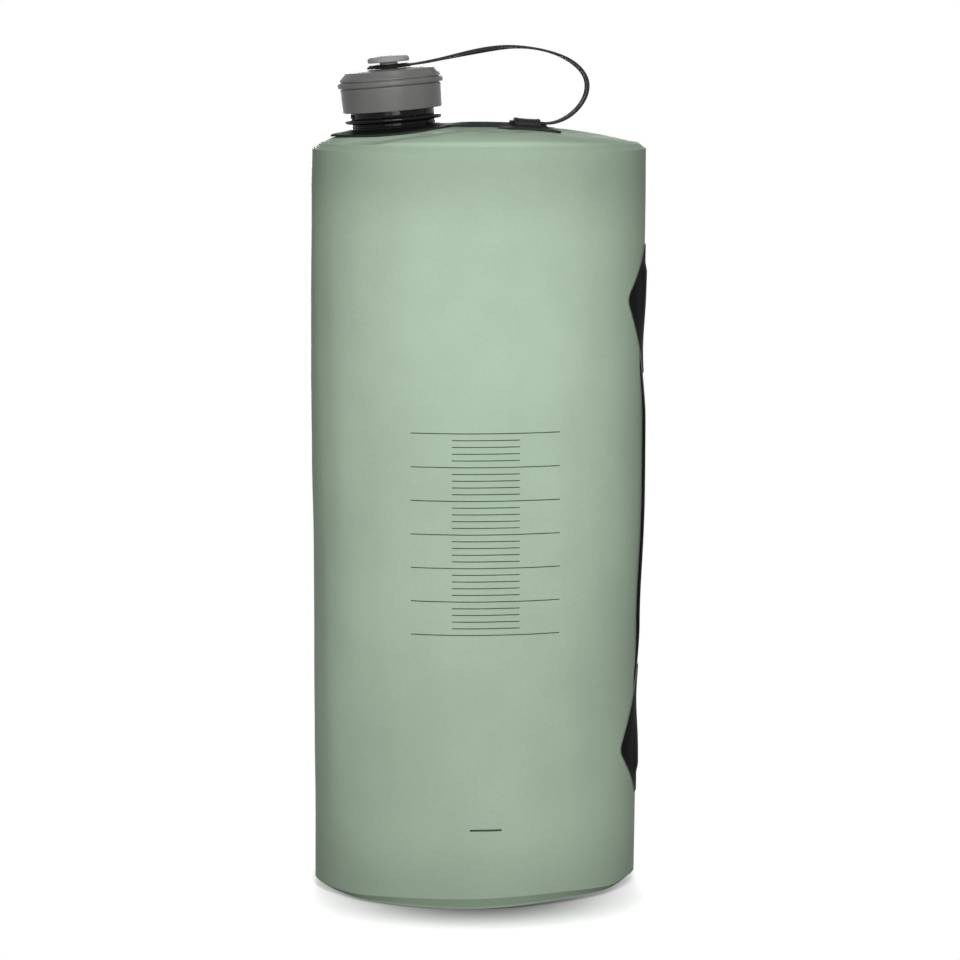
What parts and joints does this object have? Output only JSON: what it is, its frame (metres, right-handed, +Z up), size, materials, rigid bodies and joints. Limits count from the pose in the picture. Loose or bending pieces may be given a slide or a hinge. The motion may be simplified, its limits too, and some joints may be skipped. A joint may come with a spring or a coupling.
{
  "type": "collapsible water carrier",
  "caption": "Tall oval film water carrier that collapses when empty, with a side carry strap, a leaning screw-capped spout and a flat leash that keeps the cap.",
  "frame": {"origin": "centre of the flat underside of the base panel", "axes": "+Z up along the bladder, +X along the oval's long side towards the carry strap, +Y through the oval's short side"},
  "size_m": [0.1524, 0.112, 0.3841],
  "materials": {
    "film_green": "satin translucent film, sage green",
    "patch_black": "matte black welded film",
    "strap_black": "black flat webbing",
    "spout_black": "glossy moulded black",
    "cap_grey": "matte moulded grey",
    "leash_grey": "flexible dark grey strap",
    "gasket_black": "soft black seal"
  },
  "bodies": {
    "base": {"base_panel": "film_green", "bladder_wall": "film_green", "handle_patch_upper": "patch_black", "handle_patch_lower": "patch_black", "handle_strap": "strap_black"},
    "top": {"top_panel": "film_green", "top_patch": "patch_black", "leash_anchor": "patch_black", "neck": "spout_black"},
    "leash": {"leash_strap": "leash_grey"},
    "leash_ring": {"leash_ring": "leash_grey"},
    "cap": {"cap_shell": "cap_grey", "cap_button": "cap_grey", "cap_gasket": "gasket_black"}
  },
  "joints": [
    {"name": "collapse", "type": "slide", "parent": "base", "child": "top", "axis": [0, 0, 1], "range_m": [-0.22, 0], "deforming": ["bladder_wall", "handle_patch_upper", "handle_patch_lower", "handle_strap"]},
    {"name": "cap_rise", "type": "slide", "parent": "top", "child": "leash", "axis": [-0.0819, 0, 0.9966], "range_m": [0, 0.0061], "deforming": ["leash_strap"]},
    {"name": "cap_lift", "type": "slide", "parent": "leash", "child": "leash_ring", "axis": [-0.0819, 0, 0.9966], "range_m": [0, 0.06], "deforming": ["leash_strap"]},
    {"name": "cap_turn", "type": "hinge", "parent": "leash_ring", "child": "cap", "pos_m": [-0.0363, 0, 0.3452], "axis": [-0.0819, 0, 0.9966], "range_deg": [0, 540]}
  ],
  "couplings": [
    {"joint": "cap_rise", "follows": "cap_turn", "m_per_rad": 0.00063662}
  ]
}
